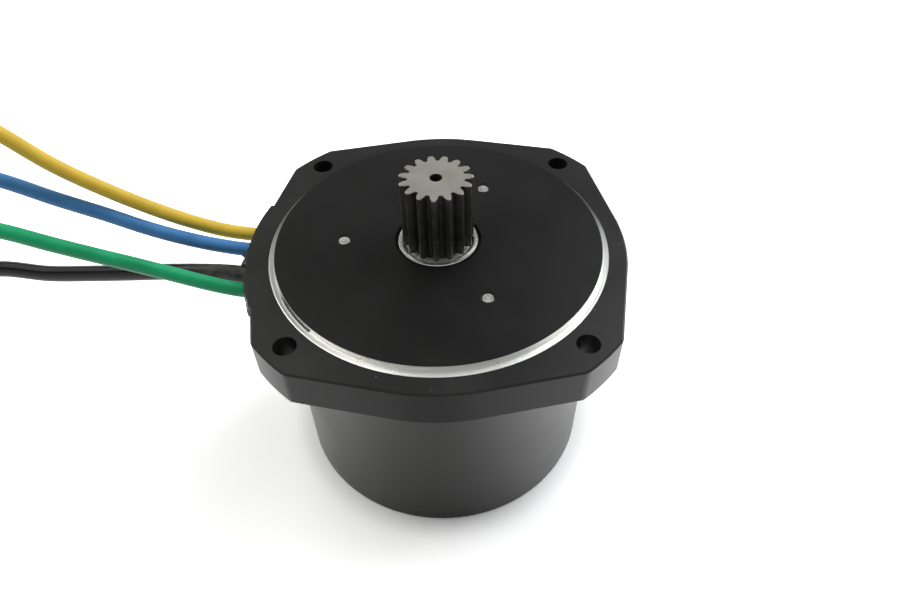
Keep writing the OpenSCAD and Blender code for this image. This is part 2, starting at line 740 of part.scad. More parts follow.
module bullet(path) {
    pin_r = bullet_pin_d / 2;
    tip_z = barrel_l + bullet_pin_l;
    color([0.83, 0.66, 0.3]) at_end(path) difference() {
        translate([0, 0, -crimp_l]) rotate_extrude($fn = 48) polygon([
            [0, 0], [barrel_d / 2, 0], [barrel_d / 2, barrel_l], [pin_r - bullet_neck, barrel_l + bullet_neck],
            [pin_r - bullet_neck, barrel_l + bullet_tip], [pin_r, barrel_l + 2 * bullet_tip],
            [pin_r, tip_z - bullet_tip], [pin_r - bullet_tip, tip_z], [0, tip_z]
        ]);
        translate([0, 0, -crimp_l - over]) cylinder(crimp_l + over, d = phase_d, $fn = 48);
    }
}

module sleeve(path, tint) {
    color(tint) at_end(path) difference() {
        translate([0, 0, -crimp_l - sleeve_lap]) rotate_extrude($fn = 48) polygon([
            [0, 0], [phase_d / 2 + splice_wall, 0], [sleeve_d / 2, sleeve_cone], [sleeve_d / 2, sleeve_l],
            [0, sleeve_l]
        ]);
        translate([0, 0, -crimp_l]) cylinder(sleeve_l, d = barrel_d, $fn = 48);
        translate([0, 0, -crimp_l - sleeve_lap - over]) cylinder(sleeve_l, d = phase_d, $fn = 48);
    }
}

module bullet_yellow() { bullet(route_yellow); }
module bullet_blue() { bullet(route_blue); }
module bullet_green() { bullet(route_green); }
module sleeve_yellow() { sleeve(route_yellow, [0.78, 0.62, 0.1]); }
module sleeve_blue() { sleeve(route_blue, [0.15, 0.32, 0.55]); }
module sleeve_green() { sleeve(route_green, [0.08, 0.5, 0.28]); }

// The sensor cable's plug: a moulded round body with a socket for its pins
module hall_plug() {
    body_r = plug_d / 2;
    nose_r = body_r - plug_nose_step;
    color([0.13, 0.13, 0.14]) at_end(route_cable) difference() {
        translate([0, 0, -plug_boot_l]) rotate_extrude($fn = 64) polygon([
            [0, 0], [cable_d / 2 + plug_wall, 0], [body_r - plug_wall, plug_boot_l],
            [body_r, plug_boot_l + plug_wall], [body_r, plug_l - plug_nose_l],
            [nose_r, plug_l - plug_nose_l + plug_nose_step], [nose_r, plug_l], [0, plug_l]
        ]);
        translate([0, 0, -plug_boot_l - over]) cylinder(plug_boot_l + over, d = cable_d, $fn = 48);
        translate([0, 0, plug_l - plug_boot_l - socket_depth])
            cylinder(socket_depth + over, r = nose_r - plug_wall, $fn = 48);
    }
}

module hall_pins() {
    color([0.83, 0.66, 0.3]) at_end(route_cable) for (k = [0 : plug_pins - 1]) rotate(k * 360 / plug_pins)
        translate([pin_circle_r, 0, plug_l - plug_boot_l - socket_depth])
        cylinder(socket_depth - over, d = socket_pin_d, $fn = 24);
}

// Pinion teeth: involute flanks from the base circle to the tip, with a filleted root
tip_cut = 0.05;         // ground off the tips, so that the bearing slides on over them
tip_break = 0.15;       // height of the broken edges beside the tip
neck_cut = 0.1;         // how far the run-out groove lies below the teeth's root
teeth_end = journal_top + runout_w;
pitch_r = gear_module * pinion_teeth / 2;
tip_r = pitch_r + gear_module - tip_cut;
root_r = pitch_r - 1.1 * gear_module;
base_r = pitch_r * cos(pressure_angle);
flank_steps = 5;

function involute_angle(r) = let (a = acos(base_r / r)) tan(a) * 180 / PI - a;
function flank_angle(r) = 90 / pinion_teeth + involute_angle(pitch_r) - involute_angle(r);
function flank(side) = [for (k = [0 : flank_steps])
    let (r = flank_start + (tip_r - tip_break - flank_start) * k / flank_steps)
    polar(r, side * flank_angle(r))];
function turned(points, turn) =
    [for (p = points) [p.x * cos(turn) - p.y * sin(turn), p.x * sin(turn) + p.y * cos(turn)]];
function reversed(points) = [for (k = [len(points) - 1 : -1 : 0]) points[k]];

// Each root fillet is three points between the flank and the root circle
flank_start = max(base_r, root_r);
foot = flank_angle(flank_start);
function fillet(side) = [
    polar(root_r, side * (foot + 2)), polar(root_r + 0.1 * gear_module, side * (foot + 0.8)),
    polar((root_r + flank_start) / 2, side * (foot + 0.2))
];
tip_half = flank_angle(tip_r) / 2;
one_tooth = concat(fillet(-1), flank(-1), [polar(tip_r, -tip_half), polar(tip_r, tip_half)],
    reversed(flank(1)), reversed(fillet(1)));

module teeth() {
    intersection() {
        translate([0, 0, teeth_end]) linear_extrude(pinion_top + over) polygon([for (k = [0 : pinion_teeth - 1])
            each turned(one_tooth, tooth_phase + k * 360 / pinion_teeth)]);
        rotate_extrude() polygon([
            [0, 0], [tip_r + over, 0], [tip_r + over, pinion_top - pinion_chamfer - over],
            [tip_r - pinion_chamfer, pinion_top], [0, pinion_top]
        ]);
    }
}

module pinion_shaft() {
    neck_r = root_r - neck_cut;
    front_r = front_bore_d / 2;
    rear_r = rear_bore_d / 2;
    seat_r = core_seat_d / 2;
    color([0.3, 0.3, 0.29]) difference() {
        union() {
            teeth();
            rotate_extrude() polygon([
                [0, teeth_end + over], [neck_r, teeth_end + over], [neck_r, journal_top],
                [front_r - journal_chamfer, journal_top],
                [front_r, journal_top - journal_chamfer], [front_r, front_bottom], [shoulder_r, front_bottom],
                [shoulder_r, rotor_top + disc_t], [seat_r, rotor_top + disc_t], [seat_r, rear_top],
                [rear_r, rear_top], [rear_r, shaft_end + end_chamfer], [rear_r - end_chamfer, shaft_end],
                [0, shaft_end]
            ]);
        }
        translate([0, 0, pinion_top - centre_hole_depth]) cylinder(centre_hole_depth + over, d = centre_hole_d,
            $fn = 48);
    }
}

// Spacer between the front bearing and the pinion, with its top level with the boss
module shaft_collar() {
    in_r = front_bore_d / 2 + fit;
    color([0.82, 0.82, 0.8]) rotate_extrude() polygon([
        [in_r, front_top], [collar_d / 2, front_top], [collar_d / 2, collar_top - collar_edge],
        [collar_d / 2 - collar_edge, collar_top], [in_r + collar_chamfer, collar_top],
        [in_r, collar_top - collar_chamfer]
    ]);
}

module rotor_core() {
    color([0.5, 0.5, 0.52]) translate([0, 0, rotor_bottom]) linear_extrude(rotor_l) difference() {
        circle(core_r);
        circle(core_seat_d / 2 + fit);
        for (k = [0 : poles - 1]) rotate(k * 360 / poles) translate([lightening_r, 0])
            circle(d = lightening_d, $fn = 32);
    }
}

module rotor_magnets() {
    sweep = magnet_share * 360 / poles;
    color([0.62, 0.63, 0.64]) for (k = [0 : poles - 1]) rotate(k * 360 / poles - sweep / 2)
        translate([0, 0, rotor_bottom]) rotate_extrude(angle = sweep)
        translate([core_r + fit, 0]) square([magnet_t - 2 * fit, rotor_l]);
}

module magnet_band() {
    color([0.2, 0.2, 0.2]) ring(rotor_bottom, rotor_top, magnet_r, band_r);
}

module rotor_front_disc() {
    color([0.75, 0.6, 0.3]) ring(rotor_top, rotor_top + disc_t, core_seat_d / 2 + fit, core_r);
}

module rotor_rear_disc() {
    color([0.75, 0.6, 0.3]) ring(rotor_bottom - disc_t, rotor_bottom, core_seat_d / 2 + fit, core_r);
}

end_cover();
motor_can();
cover_seal();
stator_core();
front_insulator();
rear_insulator();
winding_u();
winding_v();
winding_w();
phase_splices();
hall_board();
hall_sensors();
bearing_retainer();
retainer_screws();
front_bearing_outer();
front_bearing_seals();
rear_bearing_outer();
rear_bearing_seals();
wave_washer();
lead_seal();
lead_yellow();
lead_blue();
lead_green();
hall_cable();
hall_wires();
bullet_yellow();
bullet_blue();
bullet_green();
sleeve_yellow();
sleeve_blue();
sleeve_green();
hall_plug();
hall_pins();
pinion_shaft();
shaft_collar();
front_bearing_inner();
rear_bearing_inner();
rotor_core();
rotor_magnets();
magnet_band();
rotor_front_disc();
rotor_rear_disc();
front_bearing_balls();
front_bearing_cage();
rear_bearing_balls();
rear_bearing_cage();
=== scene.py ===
"""Looks of the mid-drive motor: finishes, leads, sealant, bench, lamps and camera round the CAD frame."""

import math

import bpy
from mathutils import Matrix, Vector, noise


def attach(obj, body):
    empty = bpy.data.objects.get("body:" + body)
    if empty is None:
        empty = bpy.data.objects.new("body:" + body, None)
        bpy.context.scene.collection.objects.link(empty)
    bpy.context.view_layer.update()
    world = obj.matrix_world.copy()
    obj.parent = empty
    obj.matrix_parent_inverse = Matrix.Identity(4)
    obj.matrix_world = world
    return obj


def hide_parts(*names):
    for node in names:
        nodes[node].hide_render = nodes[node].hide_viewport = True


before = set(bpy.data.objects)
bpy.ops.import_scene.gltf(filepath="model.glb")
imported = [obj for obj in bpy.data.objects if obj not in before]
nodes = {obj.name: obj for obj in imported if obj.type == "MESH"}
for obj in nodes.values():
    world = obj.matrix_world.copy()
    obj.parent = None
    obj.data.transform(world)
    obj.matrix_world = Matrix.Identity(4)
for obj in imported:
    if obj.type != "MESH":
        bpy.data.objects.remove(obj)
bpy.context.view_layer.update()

MM = 0.001
HOUSING = "housing"

# Places on the solids that finishes and leads line up with, in millimetres in the CAD frame.
BOSS_EDGE = 38.78                     # radius just inside the boss's wall
BOSS_TOP, ABOVE_BOSS = 1.5, 3.0       # heights between which a mask takes in the boss's top face only
SCREWS = [(-22.5, 0.0), (11.25, 19.486), (11.25, -19.486)]
SCREW_GAP = 1.85                      # radius of the painted shade in the hole round a screw
PAD_RADIUS = 45.6                     # round wall of the pad that the leads come out of
EXIT_HEIGHT = -5.7
BENCH_HEIGHT = -62.85                 # a hair below the can's base
PAINTED_CONTACT_SHADOW = (38.5, 46.0)         # painted shadow on the bench, from the can's foot to where the bench is at its palest


# Camera

VIEW_FROM = (0.00526, -0.127928, 0.114374)
VIEW_RIGHT = Vector((0.99979178, 0.00592983, -0.01952531))
VIEW_UP = Vector((0.00936315, 0.71686381, 0.69715034))
FOCAL_LENGTH = 28.527                 # millimetres, as is the film's width
FILM_WIDTH = 36
FILM_SHIFT = (0.00244, -0.00725)


def add_camera():
    """The photograph's viewpoint: 46 degrees above the bench, a little right of the shaft."""
    lens = bpy.data.cameras.new("photo_camera")
    lens.sensor_width = FILM_WIDTH
    lens.lens = FOCAL_LENGTH
    lens.shift_x, lens.shift_y = FILM_SHIFT
    lens.clip_start = 0.005
    lens.clip_end = 20
    camera = bpy.data.objects.new("photo_camera", lens)
    bpy.context.scene.collection.objects.link(camera)
    turn = Matrix((VIEW_RIGHT, VIEW_UP, VIEW_RIGHT.cross(VIEW_UP))).transposed().to_4x4()
    camera.matrix_world = Matrix.Translation(VIEW_FROM) @ turn
    bpy.context.scene.camera = camera


# Node helpers

FLOAT, VECTOR = "NodeSocketFloat", "NodeSocketVector"


def new_material(name):
    material = bpy.data.materials.new(name)
    material.use_nodes = True
    tree = material.node_tree
    return material, tree, tree.nodes["Principled BSDF"]


def put(tree, kind, inputs=None, **settings):
    """Adds a node, sets its properties, and sets or links its inputs."""
    node = tree.nodes.new(kind)
    for key, value in settings.items():
        setattr(node, key, value)
    for key, value in (inputs or {}).items():
        if isinstance(value, bpy.types.NodeSocket):
            tree.links.new(value, node.inputs[key])
        else:
            node.inputs[key].default_value = value
    return node


def calc(tree, operation, *values, clamp=False):
    node = put(tree, "ShaderNodeMath", dict(enumerate(values)), operation=operation, use_clamp=clamp)
    return node.outputs[0]


def ramp(tree, value, low, high, to_low=0.0, to_high=1.0):
    """Maps low..high to to_low..to_high with soft ends."""
    node = put(tree, "ShaderNodeMapRange", {"Value": value, "From Min": low, "From Max": high,
                                            "To Min": to_low, "To Max": to_high},
               interpolation_type="SMOOTHSTEP")
    return node.outputs["Result"]


def mix_colour(tree, factor, first, second):
    node = put(tree, "ShaderNodeMix", data_type="RGBA")
    for socket, value in (("Factor_Float", factor), ("A_Color", first), ("B_Color", second)):
        target = next(s for s in node.inputs if s.identifier == socket)
        if isinstance(value, bpy.types.NodeSocket):
            tree.links.new(value, target)
        elif socket == "Factor_Float":
            target.default_value = value
        else:
            target.default_value = (*value, 1)
    return next(s for s in node.outputs if s.identifier == "Result_Color")


def split(tree, vector):
    """The X, Y and Z of a vector."""
    return put(tree, "ShaderNodeSeparateXYZ", {"Vector": vector}).outputs


def object_place(tree):
    """The shaded point in metres in the piece's own frame, which is the CAD frame."""
    return put(tree, "ShaderNodeTexCoord").outputs["Object"]


def bump(tree, shader, height, strength, distance, normal=None):
    node = put(tree, "ShaderNodeBump", {"Strength": strength, "Distance": distance, "Height": height})
    if normal is not None:
        tree.links.new(normal, node.inputs["Normal"])
    tree.links.new(node.outputs["Normal"], shader.inputs["Normal"])


def settle(shader, **sockets):
    """Sets values that are the same all over the piece."""
    for key, value in sockets.items():
        shader.inputs[key.replace("_", " ")].default_value = value


def feed(tree, shader, **sockets):
    """Links values that change over the piece."""
    for key, value in sockets.items():
        tree.links.new(value, shader.inputs[key.replace("_", " ")])


def group(name, inputs, outputs):
    """A new shader node group with named inputs and outputs."""
    tree = bpy.data.node_groups.new(name, "ShaderNodeTree")
    for key, value in inputs:
        tree.interface.new_socket(key, in_out="INPUT", socket_type=FLOAT).default_value = value
    for key, kind in outputs:
        tree.interface.new_socket(key, in_out="OUTPUT", socket_type=kind)
    return tree, tree.nodes.new("NodeGroupInput").outputs, tree.nodes.new("NodeGroupOutput").inputs


def use(tree, effect, **inputs):
    """Places a node group in a material, with this material's own values."""
    values = {key.replace("_", " "): value for key, value in inputs.items()}
    return put(tree, "ShaderNodeGroup", values, node_tree=effect).outputs


# Shared effects

def make_surface_grain():
    """Fine blasted or moulded grain with slow, cloudy changes of tone."""
    tree, given, out = group("surface_grain", [("Grain Scale", 4000.0), ("Cloud Scale", 60.0)],
                             [("Height", FLOAT), ("Cloud", FLOAT)])
    place = object_place(tree)
    fine = put(tree, "ShaderNodeTexNoise", {"Vector": place, "Scale": given["Grain Scale"], "Detail": 2.0})
    cloud = put(tree, "ShaderNodeTexNoise", {"Vector": place, "Scale": given["Cloud Scale"], "Detail": 4.0})
    tree.links.new(fine.outputs["Fac"], out["Height"])
    tree.links.new(ramp(tree, cloud.outputs["Fac"], 0.3, 0.7), out["Cloud"])
    return tree


def make_turned_lines():
    """Tool marks round the shaft's axis, on faces and walls: their height, and the surface that they tilt."""
    tree, given, out = group("turned_lines", [("Lines per Metre", 6000.0), ("Tilt", 0.0)],
                             [("Height", FLOAT), ("Normal", VECTOR)])
    xyz = split(tree, object_place(tree))
    radius = calc(tree, "SQRT", calc(tree, "ADD", calc(tree, "POWER", xyz["X"], 2.0),
                                     calc(tree, "POWER", xyz["Y"], 2.0)))
    turn = calc(tree, "ARCTAN2", xyz["Y"], xyz["X"])
    sine, cosine = calc(tree, "SINE", turn), calc(tree, "COSINE", turn)
    along = calc(tree, "MULTIPLY", calc(tree, "ADD", radius, xyz["Z"]), given["Lines per Metre"])
    where = put(tree, "ShaderNodeCombineXYZ", {"X": along, "Y": sine, "Z": cosine})
    lines = put(tree, "ShaderNodeTexNoise", {"Vector": where.outputs[0], "Scale": 1.0, "Detail": 3.0})
    tree.links.new(lines.outputs["Fac"], out["Height"])
    outward = put(tree, "ShaderNodeCombineXYZ", {"X": cosine, "Y": sine, "Z": 1.0}).outputs[0]
    outward = put(tree, "ShaderNodeVectorTransform", {"Vector": outward}, vector_type="VECTOR",
                  convert_from="OBJECT", convert_to="WORLD").outputs[0]
    lean = calc(tree, "MULTIPLY", calc(tree, "SUBTRACT", lines.outputs["Fac"], 0.5), given["Tilt"])
    tilt = put(tree, "ShaderNodeVectorMath", {0: outward, "Scale": lean}, operation="SCALE")
    face = put(tree, "ShaderNodeNewGeometry").outputs["Normal"]
    tilted = put(tree, "ShaderNodeVectorMath", {0: face, 1: tilt.outputs[0]}, operation="ADD")
    level = put(tree, "ShaderNodeVectorMath", {0: tilted.outputs[0]}, operation="NORMALIZE")
    tree.links.new(level.outputs[0], out["Normal"])
    return tree


def make_ring_mask():
    """1 inside a ring round an upright axis, between two radii and two heights, all in metres."""
    tree, given, out = group("ring_mask", [("Inner", 0.0), ("Outer", 1.0), ("Low", -1.0), ("High", 1.0),
                                           ("Edge", 0.00004), ("Centre X", 0.0), ("Centre Y", 0.0)],
                             [("Mask", FLOAT)])
    xyz = split(tree, object_place(tree))
    squares = [calc(tree, "POWER", calc(tree, "SUBTRACT", xyz[axis], given["Centre " + axis]), 2.0)
               for axis in "XY"]
    radius = calc(tree, "SQRT", calc(tree, "ADD", *squares))

    def past(value, limit):
        """1 where the value is past the limit, with a soft edge."""
        beyond = calc(tree, "DIVIDE", calc(tree, "SUBTRACT", value, limit), given["Edge"])
        return calc(tree, "ADD", beyond, 0.5, clamp=True)

    across = calc(tree, "MULTIPLY", past(radius, given["Inner"]), past(given["Outer"], radius))
    upright = calc(tree, "MULTIPLY", past(xyz["Z"], given["Low"]), past(given["High"], xyz["Z"]))
    tree.links.new(calc(tree, "MULTIPLY", across, upright), out["Mask"])
    return tree


def make_dust():
    """Sparse pale specks, as dust leaves on a dark part."""
    tree, given, out = group("dust", [("Scale", 220.0), ("Size", 0.05)], [("Mask", FLOAT)])
    cells = put(tree, "ShaderNodeTexVoronoi", {"Vector": object_place(tree), "Scale": given["Scale"]})
    pick = put(tree, "ShaderNodeSeparateColor", {"Color": cells.outputs["Color"]}).outputs["Red"]
    near = calc(tree, "LESS_THAN", cells.outputs["Distance"], calc(tree, "MULTIPLY", given["Size"], pick))
    few = calc(tree, "GREATER_THAN", pick, 0.86)
    tree.links.new(calc(tree, "MULTIPLY", near, few), out["Mask"])
    return tree


GRAIN = make_surface_grain()
TURNED = make_turned_lines()
RING = make_ring_mask()
DUST = make_dust()


def ring(tree, inner, outer, low, high, edge=0.04, centre=(0.0, 0.0)):
    """The ring mask, with its sizes in millimetres."""
    x, y = centre
    return use(tree, RING, Inner=inner * MM, Outer=outer * MM, Low=low * MM, High=high * MM, Edge=edge * MM,
               Centre_X=x * MM, Centre_Y=y * MM)["Mask"]


def screw_rings(tree, inner, outer, low, high):
    """1 in a ring round each of the three screws in the boss."""
    masks = [ring(tree, inner, outer, low, high, centre=centre) for centre in SCREWS]
    return calc(tree, "MAXIMUM", calc(tree, "MAXIMUM", masks[0], masks[1]), masks[2])


# Finishes

def plain_finish(name, dark, light, roughness, metallic=0.0, grain=4000.0, cloud=60.0, depth=0.02,
                 specular=0.5, coat=0.0, turned=None, tilt=0.0):
    """One finish all over: two tones in clouds, and grain or tool marks of a depth in millimetres."""
    material, tree, shader = new_material(name)
    skin = use(tree, GRAIN, Grain_Scale=grain, Cloud_Scale=cloud)
    feed(tree, shader, Base_Color=mix_colour(tree, skin["Cloud"], dark, light),
         Roughness=ramp(tree, skin["Cloud"], 0.0, 1.0, roughness * 0.9, roughness * 1.1))
    height, normal = skin["Height"], None
    if turned is not None:
        marks = use(tree, TURNED, Lines_per_Metre=turned, Tilt=tilt)
        height, normal = marks["Height"], marks["Normal"]
    bump(tree, shader, height, 0.3, depth * MM, normal)
    settle(shader, Metallic=metallic, Specular_IOR_Level=specular, Coat_Weight=coat)
    return material


def screw_finish():
    """Screw ends: bright, with a dished middle that is bumped in and darkened by painted shade, and a ring of
    painted shade round the dish's edge.
    """
    dish, flat_of_dish, top = 0.95, 0.62, 9.0
    material, tree, shader = new_material("screw_steel")
    grain = use(tree, GRAIN, Grain_Scale=5200.0, Cloud_Scale=500.0)
    dishes = screw_rings(tree, 0.0, dish, 0.0, top)
    dish_edge_shade = calc(tree, "SUBTRACT", dishes, screw_rings(tree, 0.0, flat_of_dish, 0.0, top))
    colour = mix_colour(tree, grain["Cloud"], (0.60, 0.61, 0.59), (0.78, 0.79, 0.77))
    # Painted shade: the dish a little darker, and darker still in a ring at its edge.
    colour = mix_colour(tree, calc(tree, "MULTIPLY", dishes, 0.25), colour, (0.30, 0.30, 0.29))
    colour = mix_colour(tree, calc(tree, "MULTIPLY", dish_edge_shade, 0.35), colour, (0.12, 0.12, 0.115))
    feed(tree, shader, Base_Color=colour, Roughness=ramp(tree, grain["Cloud"], 0.0, 1.0, 0.34, 0.42))
    sunk = calc(tree, "SUBTRACT", grain["Height"], calc(tree, "MULTIPLY", dishes, 3.0))
    bump(tree, shader, sunk, 0.4, 0.04 * MM)
    settle(shader, Metallic=1.0)
    return material


# The bare metal on the boss's wall and round its foot: inner and outer radius, low and high, in millimetres.
BARE = (38.55, 40.32, -0.25, 1.47)
# Single pale specks on the cover's top: x, y and radius in millimetres.
SPECKS = [(-0.8, -43.4, 0.25), (43.8, -0.6, 0.3), (42.9, -1.0, 0.25), (41.9, -1.4, 0.2)]
# The dark line along the boss's foot, in radians round the shaft.
LINE_FADES_IN, LINE_FULL, LINE_ENDS = -2.78, -2.62, -2.345


def cover_black(tree, grain, screw_hole_shade):
    """The black: darker on the boss's top, painted shade in the holes round the screws, with dust and pale
    specks.
    """
    boss_top = ring(tree, 0.0, BOSS_EDGE, BOSS_TOP, ABOVE_BOSS)
    dust = use(tree, DUST, Scale=260.0, Size=0.05)["Mask"]
    black = mix_colour(tree, grain["Cloud"], (0.0125, 0.013, 0.012), (0.018, 0.0185, 0.0175))
    black = mix_colour(tree, boss_top, black, (0.0055, 0.0058, 0.0053))
    black = mix_colour(tree, dust, black, (0.09, 0.09, 0.085))
    for x, y, radius in SPECKS:
        speck = ring(tree, 0.0, radius, -0.1, 0.1, edge=0.25, centre=(x, y))
        black = mix_colour(tree, speck, black, (0.05, 0.05, 0.05))
    # Painted shade: near black in the holes round the screws.
    return mix_colour(tree, screw_hole_shade, black, (0.001, 0.001, 0.001))


def cover_silver(tree, lines):
    """The bare metal: painted dark reflection at the back and on the wall's left, with a dark line part of
    the way round.
    """
    xyz = split(tree, object_place(tree))
    turn = calc(tree, "ARCTAN2", xyz["Y"], xyz["X"])
    # Painted dark reflection: the metal darker towards the back and on the wall's left.
    back = ramp(tree, xyz["Y"], -8 * MM, 14 * MM, 0.0, 0.8)
    wall_left = calc(tree, "MULTIPLY", ramp(tree, xyz["Z"], 0.1 * MM, 0.4 * MM),
                     ramp(tree, xyz["X"], -16 * MM, -36 * MM, 0.0, 0.8))
    foot = ring(tree, BOSS_EDGE, 39.10, -0.3, 0.3, edge=0.08)
    part_way = calc(tree, "MULTIPLY", ramp(tree, turn, LINE_FADES_IN, LINE_FULL),
                    calc(tree, "LESS_THAN", turn, LINE_ENDS))
    silver = mix_colour(tree, lines, (0.72, 0.72, 0.69), (0.95, 0.95, 0.925))
    silver = mix_colour(tree, back, silver, (0.06, 0.06, 0.058))
    silver = mix_colour(tree, wall_left, silver, (0.08, 0.08, 0.075))
    return mix_colour(tree, calc(tree, "MULTIPLY", foot, part_way), silver, (0.06, 0.058, 0.05))


def cover_finish():
    """Satin black cover with the boss's wall and the ring at its foot turned bare."""
    material, tree, shader = new_material("cover_black_and_bare")
    grain = use(tree, GRAIN, Grain_Scale=5200.0, Cloud_Scale=45.0)
    bare = ring(tree, *BARE)
    screw_hole_shade = screw_rings(tree, 0.0, SCREW_GAP, BOSS_TOP, ABOVE_BOSS)
    marks = use(tree, TURNED, Lines_per_Metre=15300.0, Tilt=calc(tree, "MULTIPLY", bare, 1.7))
    lines = marks["Height"]
    colour = mix_colour(tree, bare, cover_black(tree, grain, screw_hole_shade), cover_silver(tree, lines))
    rough = calc(tree, "ADD", ramp(tree, grain["Cloud"], 0.0, 1.0, 0.31, 0.37),
                 calc(tree, "SUBTRACT", calc(tree, "MULTIPLY", screw_hole_shade, 0.3),
                      calc(tree, "MULTIPLY", bare, 0.04)))
    feed(tree, shader, Base_Color=colour, Metallic=bare, Roughness=rough)
    blasted = calc(tree, "MULTIPLY", grain["Height"], calc(tree, "SUBTRACT", 1.0, bare))
    height = calc(tree, "ADD", blasted, calc(tree, "MULTIPLY", lines, bare))
    bump(tree, shader, height, 0.35, 0.02 * MM, marks["Normal"])
    settle(shader, Specular_IOR_Level=0.25)
    return material


def pinion_finish():
    """Blackened teeth, a ground end, and the journal face that the teeth are cut down to: pale cream, partly
    its own colour and partly painted reflection.
    """
    teeth_end, shaft_end, top = 1.0, -80, 30
    centre_hole, journal_radius, past_tips, past_magnets = 1.45, 7.72, 9.2, 30
    material, tree, shader = new_material("pinion_steel")
    grain = use(tree, GRAIN, Grain_Scale=6000.0, Cloud_Scale=240.0)
    face = ring(tree, 0.0, journal_radius, 0.86, teeth_end)
    ground = ring(tree, centre_hole, past_tips, 19.22, top)
    journal = ring(tree, 6.35, past_magnets, shaft_end, teeth_end)
    marks = use(tree, TURNED, Lines_per_Metre=14000.0, Tilt=calc(tree, "MULTIPLY", face, 3.0))
    steel = mix_colour(tree, grain["Cloud"], (0.42, 0.415, 0.37), (0.50, 0.49, 0.44))
    black = mix_colour(tree, grain["Cloud"], (0.024, 0.024, 0.022), (0.055, 0.054, 0.049))
    # Partly the face's own pale colour and partly painted reflection, near white on low metallic steel.
    cream_and_painted_reflection = mix_colour(tree, marks["Height"], (0.90, 0.88, 0.76), (0.97, 0.96, 0.86))
    turned = mix_colour(tree, face, (0.24, 0.24, 0.23), cream_and_painted_reflection)
    colour = mix_colour(tree, journal, mix_colour(tree, ground, black, steel), turned)
    bare = calc(tree, "ADD", ground, journal, clamp=True)
    feed(tree, shader, Base_Color=colour,
         Metallic=calc(tree, "SUBTRACT", bare, calc(tree, "MULTIPLY", face, 0.85)),
         Roughness=calc(tree, "ADD", calc(tree, "MULTIPLY", bare, 0.12), 0.3))
    bump(tree, shader, grain["Height"], 0.25, 0.02 * MM, marks["Normal"])
    return material


def lead_finish(name, dark, light, roughness=0.42, depth=0.03):
    """Silicone: satin, slightly cloudy, with a fine skin of a depth in millimetres."""
    material, tree, shader = new_material(name)
    grain = use(tree, GRAIN, Grain_Scale=2600.0, Cloud_Scale=160.0)
    feed(tree, shader, Base_Color=mix_colour(tree, grain["Cloud"], dark, light),
         Roughness=ramp(tree, grain["Cloud"], 0.0, 1.0, roughness - 0.05, roughness + 0.05))
    bump(tree, shader, grain["Height"], 0.25, depth * MM)
    settle(shader, Specular_IOR_Level=0.30)
    return material


def cable_finish():
    """Smooth black jacket that turns matt and paler where it is creased beside the sealant."""
    material, tree, shader = new_material("cable_jacket")
    grain = use(tree, GRAIN, Grain_Scale=2600.0, Cloud_Scale=420.0)
    creased = ramp(tree, split(tree, object_place(tree))["X"], -66 * MM, -50 * MM)
    worn = mix_colour(tree, grain["Cloud"], (0.026, 0.025, 0.023), (0.078, 0.074, 0.068))
    feed(tree, shader, Base_Color=mix_colour(tree, creased, (0.008, 0.008, 0.008), worn),
         Roughness=ramp(tree, creased, 0.0, 1.0, 0.22, 0.6))
    bump(tree, shader, grain["Height"], 0.25, 0.04 * MM)
    settle(shader, Specular_IOR_Level=0.27)
    return material


def sealant_finish():
    """Cured black sealant: uneven, from satin to matt."""
    material, tree, shader = new_material("sealant_black")
    grain = use(tree, GRAIN, Grain_Scale=1500.0, Cloud_Scale=420.0)
    colour = mix_colour(tree, grain["Cloud"], (0.004, 0.004, 0.0038), (0.022, 0.019, 0.016))
    feed(tree, shader, Base_Color=colour, Roughness=ramp(tree, grain["Cloud"], 0.0, 1.0, 0.42, 0.7))
    bump(tree, shader, grain["Height"], 0.6, 0.12 * MM)
    return material


